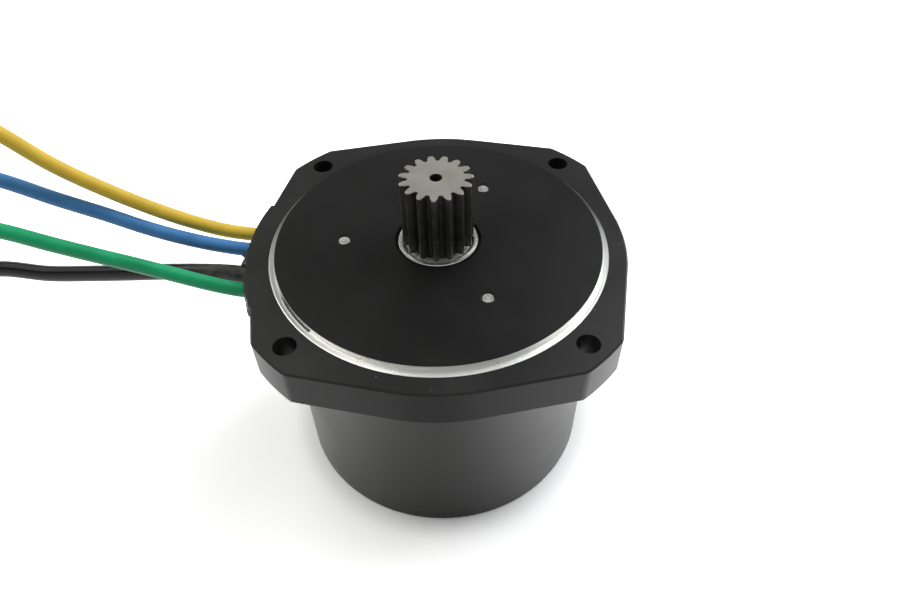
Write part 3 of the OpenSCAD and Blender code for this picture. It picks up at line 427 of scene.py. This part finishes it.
FINISH = {
    "can_grey": plain_finish("can_grey", (0.011, 0.0115, 0.0100), (0.017, 0.0175, 0.0155), 0.36,
                             grain=5200.0, cloud=40.0, specular=0.85),
    # The front bearing's inner ring is painted near black: painted shade for the deep gap round the collar,
    # where the ring itself is steel.
    "bearing_inner_painted_shade": plain_finish("bearing_inner_painted_shade", (0.010, 0.010, 0.010), (0.02, 0.02, 0.02), 0.55,
                                  metallic=0.3, turned=16000.0, specular=0.3),
    "bright_steel": plain_finish("bright_steel", (0.80, 0.80, 0.78), (0.94, 0.94, 0.92), 0.28,
                                 metallic=1.0, turned=14000.0, tilt=1.6),
    "screw_steel": screw_finish(),
    "bearing_steel": plain_finish("bearing_steel", (0.52, 0.52, 0.54), (0.62, 0.62, 0.64), 0.2,
                                  metallic=1.0, turned=16000.0),
    "lamination": plain_finish("lamination", (0.18, 0.18, 0.19), (0.30, 0.30, 0.32), 0.45,
                               metallic=0.9, turned=4000.0, depth=0.05),
    "magnet": plain_finish("magnet_nickel", (0.45, 0.45, 0.46), (0.55, 0.55, 0.56), 0.3, metallic=1.0),
    "band": plain_finish("magnet_band", (0.012, 0.012, 0.013), (0.03, 0.03, 0.032), 0.45,
                         turned=5000.0, depth=0.06, coat=0.3),
    "brass": plain_finish("brass_turned", (0.58, 0.42, 0.17), (0.72, 0.55, 0.26), 0.3,
                          metallic=1.0, turned=9000.0),
    "copper": plain_finish("copper_winding", (0.42, 0.16, 0.07), (0.62, 0.27, 0.12), 0.32,
                           metallic=0.8, grain=2200.0, depth=0.1, coat=0.4),
    "insulator": plain_finish("insulator", (0.55, 0.51, 0.40), (0.63, 0.59, 0.47), 0.5),
    "board": plain_finish("sensor_board", (0.008, 0.10, 0.04), (0.012, 0.14, 0.06), 0.3, coat=0.5),
    "chip": plain_finish("sensor_chip", (0.012, 0.012, 0.013), (0.02, 0.02, 0.021), 0.5),
    "rubber": plain_finish("seal_rubber", (0.010, 0.010, 0.010), (0.02, 0.02, 0.02), 0.6),
    "plug": plain_finish("plug_black", (0.012, 0.012, 0.013), (0.022, 0.022, 0.023), 0.42, depth=0.04),
    "gold": plain_finish("gold_contact", (0.80, 0.55, 0.20), (0.90, 0.66, 0.30), 0.22,
                         metallic=1.0, turned=14000.0),
    "wires": plain_finish("sensor_wires", (0.02, 0.02, 0.02), (0.04, 0.04, 0.04), 0.4),
    "cover": cover_finish(),
    "pinion": pinion_finish(),
    "sleeve_yellow": lead_finish("sleeve_yellow", (0.42, 0.30, 0.03), (0.50, 0.37, 0.04), 0.55, 0.06),
    "sleeve_blue": lead_finish("sleeve_blue", (0.015, 0.07, 0.20), (0.02, 0.09, 0.25), 0.55, 0.06),
    "sleeve_green": lead_finish("sleeve_green", (0.005, 0.17, 0.07), (0.008, 0.22, 0.09), 0.55, 0.06),
}
LEAD = {
    "yellow": lead_finish("lead_yellow", (0.71, 0.475, 0.042), (0.81, 0.55, 0.055)),
    "blue": lead_finish("lead_blue", (0.046, 0.185, 0.43), (0.062, 0.225, 0.51)),
    "green": lead_finish("lead_green", (0.005, 0.305, 0.12), (0.008, 0.38, 0.152)),
    "cable": cable_finish(),
}

NODE_FINISH = {
    "end_cover": "cover", "motor_can": "can_grey", "pinion_shaft": "pinion", "shaft_collar": "bright_steel",
    "retainer_screws": "screw_steel", "bearing_retainer": "bright_steel", "wave_washer": "bright_steel",
    "front_bearing_outer": "bearing_steel", "front_bearing_inner": "bearing_inner_painted_shade",
    "rear_bearing_outer": "bearing_steel", "rear_bearing_inner": "bearing_steel",
    "front_bearing_balls": "bearing_steel", "rear_bearing_balls": "bearing_steel",
    "front_bearing_cage": "brass", "rear_bearing_cage": "brass",
    "front_bearing_seals": "rubber", "rear_bearing_seals": "rubber", "cover_seal": "rubber",
    "stator_core": "lamination", "rotor_core": "lamination", "rotor_magnets": "magnet", "magnet_band": "band",
    "rotor_front_disc": "brass", "rotor_rear_disc": "brass", "phase_splices": "brass",
    "front_insulator": "insulator", "rear_insulator": "insulator",
    "winding_u": "copper", "winding_v": "copper", "winding_w": "copper",
    "hall_board": "board", "hall_sensors": "chip", "hall_wires": "wires", "hall_plug": "plug",
    "hall_pins": "gold", "bullet_yellow": "gold", "bullet_blue": "gold", "bullet_green": "gold",
    "sleeve_yellow": "sleeve_yellow", "sleeve_blue": "sleeve_blue", "sleeve_green": "sleeve_green",
    "lead_seal": "rubber",
}


def dress(piece, material):
    piece.data.materials.clear()
    piece.data.materials.append(material)


# Leads

# Each lead's way from inside the exit to its connector on the bench, in millimetres.
ROUTES = {
    "yellow": [
        (-34, 10.4, -5.7), (-41, 10.4, -5.7), (-45.8, 10.4, -5.7), (-54.5, 10, -3.7), (-62.5, 9.2, 0.2),
        (-71, 8.3, 5.6), (-79.5, 7.3, 12.1), (-88, 6.4, 19.6), (-95.5, 5.6, 28.4), (-103, 6, 35),
        (-113, 8, 38), (-123, 11, 34), (-131, 14, 24), (-136, 16, 11), (-140, 18, -3), (-144, 19, -18),
        (-149, 20, -33), (-156, 20, -47), (-166, 20, -56.5), (-178, 20, -59.8), (-190, 20, -59.8)],
    "blue": [
        (-34, 4.6, -5.7), (-41, 4.6, -5.7), (-46.4, 4.6, -5.7), (-55, 4.7, -4.1), (-63, 4.7, -1.6),
        (-71, 4.8, 1.6), (-80, 4.9, 6.1), (-90, 4.9, 10.9), (-101, 5, 16.5), (-110, 5, 19.5),
        (-119, 5.5, 18.5), (-127, 6, 13), (-133, 6, 4), (-138, 6.5, -8), (-142, 7, -21),
        (-147, 7, -34), (-154, 7, -46), (-164, 7, -55.5), (-176, 6.6, -59.7), (-204, 5, -59.8)],
    "green": [
        (-34, -9.6, -5.7), (-41, -9.6, -5.7), (-45.8, -9.6, -5.7), (-53, -9.8, -3.4), (-61, -10.1, 0.2),
        (-69, -10.4, 3.8), (-77, -10.7, 7.2), (-85, -11.1, 10.9), (-94, -11.5, 15.2), (-103, -12.5, 18.5),
        (-112, -14, 19), (-121, -16, 15), (-128, -18, 6.5), (-133, -19.5, -5), (-138, -20.5, -18),
        (-143, -21, -31), (-150, -21, -43.5), (-160, -21, -54), (-172, -21.3, -59.6), (-204, -23, -59.8)],
    "cable": [
        (-38, -4.1, -5.7), (-42, -4.1, -5.7), (-46.4, -4.1, -5.7), (-56, -3, -5.9), (-66, -2, -6.6),
        (-77, -1.1, -7.7), (-88, -0.1, -8.8), (-99, 0.8, -9.5), (-111, 1.8, -8.7), (-121, 1, -9.5),
        (-130, -1, -13.5), (-138, -3, -22.5), (-145, -5, -33.5), (-152, -6, -44.5), (-161, -7, -53.5),
        (-172, -7.4, -58), (-184, -8, -58.3), (-212, -9, -58.3)],
}
STEPS_PER_POINT = 10
LEAD_DIAMETER = 3.5 * MM
CABLE_DIAMETER = 4.1 * MM
CREASED_LENGTH = 20 * MM


def held(value):
    """The value, but never below 0 or above 1."""
    return max(0.0, min(1.0, value))


def smooth_path(route):
    """Points in metres on a smooth curve through the route's own points."""
    points = [Vector(p) * MM for p in route]
    padded = [points[0] * 2 - points[1], *points, points[-1] * 2 - points[-2]]
    path = []
    for before, start, end, after in zip(padded, padded[1:], padded[2:], padded[3:]):
        screw_hole_shade = [max((b - a).length, 1e-9) ** 0.5 for a, b in ((before, start), (start, end), (end, after))]
        leave = ((start - before) / screw_hole_shade[0] - (end - before) / (screw_hole_shade[0] + screw_hole_shade[1])
                 + (end - start) / screw_hole_shade[1]) * screw_hole_shade[1]
        reach = ((end - start) / screw_hole_shade[1] - (after - start) / (screw_hole_shade[1] + screw_hole_shade[2])
                 + (after - end) / screw_hole_shade[2]) * screw_hole_shade[1]
        for step in range(STEPS_PER_POINT):
            t = step / STEPS_PER_POINT
            path.append(start * (2 * t**3 - 3 * t**2 + 1) + leave * (t**3 - 2 * t**2 + t)
                        + end * (3 * t**2 - 2 * t**3) + reach * (t**3 - t**2))
    path.append(points[-1])
    return path


def sweep_lead(name, path, diameter):
    """A round tube along the path, with its ends closed."""
    curve = bpy.data.curves.new(name, "CURVE")
    curve.dimensions = "3D"
    curve.bevel_depth = diameter / 2
    curve.bevel_resolution = 5
    curve.use_fill_caps = True
    spline = curve.splines.new("POLY")
    spline.points.add(len(path) - 1)
    for point, place in zip(spline.points, path):
        point.co = (*place, 1)
    piece = bpy.data.objects.new(name, curve)
    bpy.context.scene.collection.objects.link(piece)
    bpy.ops.object.select_all(action="DESELECT")
    piece.select_set(True)
    bpy.context.view_layer.objects.active = piece
    bpy.ops.object.convert(target="MESH")
    piece = bpy.context.view_layer.objects.active
    bpy.ops.object.shade_smooth()
    return piece


def wrinkle_cable(piece, path):
    """The jacket is shrunk and creased on its first 20 mm out of the sealant, and smooth from there."""
    for vertex in piece.data.vertices:
        amount = held(1 - (-PAD_RADIUS * MM - vertex.co.x) / CREASED_LENGTH)
        if amount == 0:
            continue
        near = min(path, key=lambda point: (point - vertex.co).length_squared)
        away = (vertex.co - near).normalized()
        x, y, z = vertex.co
        crease = noise.noise(Vector((x * 260, y * 900, z * 900)))
        fold = noise.noise(Vector((x * 700, y * 500, z * 500)) + Vector((7, 3, 1)))
        vertex.co += away * (crease * 0.28 + fold * 0.14) * MM * amount


def add_cords():
    """The three phase leads and the sensor cable, each ending at the connector that the CAD gives it."""
    for colour, route in ROUTES.items():
        path = smooth_path(route)
        is_cable = colour == "cable"
        node = "hall_cable" if is_cable else "lead_" + colour
        diameter = CABLE_DIAMETER if is_cable else LEAD_DIAMETER
        piece = sweep_lead("cord_" + colour, path, diameter)
        if is_cable:
            wrinkle_cable(piece, path)
        dress(piece, LEAD[colour])
        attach(piece, HOUSING)
        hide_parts(node)


# Sealant

# The block that the bead is shaped from, in millimetres.
BEAD_CENTRE = (-43.4, -3.25, EXIT_HEIGHT)
BEAD_SIZE = (6.0, 32.3, 4.5)
BEAD_CUTS = 59
SMEARED_SHARE = 0.26                  # front share of the bead's depth that bulges out of the exit
FILLED_DEPTH = 4.2                    # how far the rest reaches into the exit
LIP_SPREAD = 0.7                      # how much taller the smeared lip is than the exit


def bell(distance, width):
    """1 at no distance, falling off smoothly over the width."""
    return math.exp(-(distance / width)**2)


def bead_ends(y):
    """1 along the bead, falling to 0 at its two ends."""
    last, first = BEAD_CENTRE[1] + BEAD_SIZE[1] / 2, BEAD_CENTRE[1] - BEAD_SIZE[1] / 2
    return held((last - y) / 1.5) * held((y - first) / 1.2)


def bulge(y, z):
    """How far the sealant stands out of the pad's wall at a place on the bead's front, in millimetres."""
    height = (z - EXIT_HEIGHT) / (BEAD_SIZE[2] / 2)
    low_end = held((-6.0 - y) / 5.0)
    lump = noise.noise(Vector((y * 0.55, z * 0.6, 3.0))) * 0.6
    lump += noise.noise(Vector((y * 1.6, z * 1.4, 9.0))) * 0.3
    dome = math.sqrt(max(0.0, 1 - height**2))
    beside_cable = 1.1 * bell(y, 2.4)
    along_blue_lead = 3.2 * bell(y - 3.1, 0.95) * bell(height + 0.12, 0.3)
    along_cable = 1.4 * bell(y + 2.6, 1.1) * bell(height - 0.35, 0.5)
    body = (0.70 + 0.6 * low_end + beside_cable + lump) * (0.5 + 0.5 * dome) * bead_ends(y)
    return max(0.12 + body + along_blue_lead + along_cable, 0.1)


def add_sealant():
    """A rough bead of cured sealant that fills the exit and is smeared over the pad round it in lumps."""
    bpy.ops.object.select_all(action="DESELECT")
    bpy.ops.mesh.primitive_cube_add(size=1, location=[place * MM for place in BEAD_CENTRE])
    bead = bpy.context.view_layer.objects.active
    bead.name = bead.data.name = "sealant_bead"
    bead.scale = [size * MM for size in BEAD_SIZE]
    bpy.ops.object.transform_apply(location=True, rotation=True, scale=True)
    bpy.ops.object.mode_set(mode="EDIT")
    bpy.ops.mesh.select_all(action="SELECT")
    bpy.ops.mesh.subdivide(number_cuts=BEAD_CUTS)
    bpy.ops.object.mode_set(mode="OBJECT")
    front = BEAD_CENTRE[0] - BEAD_SIZE[0] / 2
    for vertex in bead.data.vertices:
        x, y, z = vertex.co / MM
        depth = (x - front) / BEAD_SIZE[0]     # 0 at the bead's front, 1 at its back
        wall = 0.05 - math.sqrt(PAD_RADIUS**2 - y**2)
        lip = held((SMEARED_SHARE - depth) / 0.06)
        if depth < SMEARED_SHARE:
            vertex.co.x = (wall - bulge(y, z) * (1 - depth / SMEARED_SHARE)) * MM
        else:
            vertex.co.x = (wall + (depth - SMEARED_SHARE) / (1 - SMEARED_SHARE) * FILLED_DEPTH) * MM
        vertex.co.z = (EXIT_HEIGHT + (z - EXIT_HEIGHT) * (1 + LIP_SPREAD * lip * bead_ends(y))) * MM
    bpy.ops.object.shade_smooth()
    dress(bead, sealant_finish())
    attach(bead, HOUSING)
    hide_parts("lead_seal")


# Bench and light

def bench_material():
    """White to the camera, with the motor's shadow on it and painted shadow round the can's foot, and a plain
    grey-white as a source of light.
    """
    material = bpy.data.materials.new("bench_white")
    material.use_nodes = True
    tree = material.node_tree
    tree.nodes.clear()
    rays = put(tree, "ShaderNodeLightPath").outputs
    straight = calc(tree, "MAXIMUM", rays["Is Camera Ray"], rays["Is Transmission Ray"])
    place = object_place(tree)
    out = put(tree, "ShaderNodeVectorMath", {0: place}, operation="LENGTH").outputs["Value"]
    across = split(tree, place)["X"]
    # Painted shadow: paler from the can's foot outwards, so that the soft shadow ends in pure white.
    near, clear = (radius * MM for radius in PAINTED_CONTACT_SHADOW)
    to_camera = mix_colour(tree, ramp(tree, out, near, clear), (1.30, 1.30, 1.30), (1.80, 1.80, 1.80))
    to_others = mix_colour(tree, rays["Is Diffuse Ray"], (0.65, 0.65, 0.65), (0.86, 0.86, 0.86))
    white = put(tree, "ShaderNodeBsdfDiffuse", {"Color": mix_colour(tree, straight, to_others, to_camera)})
    far_off = ramp(tree, out, 0.3, 0.9, 0.03, 1.0)
    mirrored = calc(tree, "ADD", ramp(tree, across, 0.0, 0.11, 0.0, 1.9),
                    ramp(tree, across, 0.0, -0.10, 0.0, 0.95))
    strength = calc(tree, "ADD", calc(tree, "MULTIPLY", straight, far_off),
                    calc(tree, "MULTIPLY", rays["Is Glossy Ray"], mirrored))
    glow = put(tree, "ShaderNodeEmission", {"Color": (1, 1, 1, 1), "Strength": strength})
    both = put(tree, "ShaderNodeAddShader", {0: white.outputs[0], 1: glow.outputs[0]})
    put(tree, "ShaderNodeOutputMaterial", {"Surface": both.outputs[0]})
    return material


def add_bench():
    bpy.ops.object.select_all(action="DESELECT")
    bpy.ops.mesh.primitive_plane_add(size=8, location=(0, 0, BENCH_HEIGHT * MM))
    bench = bpy.context.view_layer.objects.active
    bench.name = "bench"
    dress(bench, bench_material())


def add_lamp(name, place, size, power, colour):
    """A round soft lamp that points at the shaft."""
    data = bpy.data.lights.new(name, "AREA")
    data.shape = "DISK"
    data.size = size
    data.energy = power
    data.color = colour
    lamp = bpy.data.objects.new(name, data)
    bpy.context.scene.collection.objects.link(lamp)
    lamp.location = place
    lamp.rotation_mode = "QUATERNION"
    lamp.rotation_quaternion = (-Vector(place)).to_track_quat("-Z", "Y")


def add_room():
    """White straight on. Reflections see it white low down and dark overhead, and it lights the sides."""
    world = bpy.data.worlds.new("room")
    world.use_nodes = True
    bpy.context.scene.world = world
    tree = world.node_tree
    tree.nodes.clear()
    rays = put(tree, "ShaderNodeLightPath").outputs
    straight = calc(tree, "MAXIMUM", rays["Is Camera Ray"], rays["Is Transmission Ray"])
    way = split(tree, put(tree, "ShaderNodeTexCoord").outputs["Generated"])
    mirrored = calc(tree, "ADD", ramp(tree, way["Z"], 0.1, 0.78, 0.9, 0.12),
                    ramp(tree, way["Y"], -0.1, -0.6, 0.0, 0.3))
    sides = calc(tree, "ADD", ramp(tree, way["X"], 0.55, 0.95, 0.0, 1.9),
                 ramp(tree, way["X"], -0.55, -0.95, 0.0, 1.5))
    sides = calc(tree, "MULTIPLY", sides, ramp(tree, way["Y"], -0.1, 0.25, 0.15, 1.2))
    lighting = calc(tree, "ADD", ramp(tree, way["Y"], -0.6, 0.2, 0.15, 0.35), sides)
    others = calc(tree, "SUBTRACT", 1.0, calc(tree, "MAXIMUM", straight, rays["Is Glossy Ray"]))
    seen = calc(tree, "ADD", straight, calc(tree, "MULTIPLY", rays["Is Glossy Ray"], mirrored))
    strength = calc(tree, "ADD", seen, calc(tree, "MULTIPLY", others, lighting))
    light = put(tree, "ShaderNodeBackground", {"Color": (1, 1, 1, 1), "Strength": strength})
    put(tree, "ShaderNodeOutputWorld", {"Surface": light.outputs[0]})


# The object on its bench

add_camera()
add_cords()
add_sealant()
for node, finish in NODE_FINISH.items():
    dress(nodes[node], FINISH[finish])
add_bench()
add_lamp("lamp_left", (-0.42, 0.19, 0.81), size=0.78, power=3.7, colour=(1.0, 0.99, 0.96))
add_lamp("lamp_right", (0.47, 0.34, 0.73), size=0.68, power=4.2, colour=(0.96, 0.985, 1.0))
add_room()
bpy.context.scene.view_settings.view_transform = "Standard"
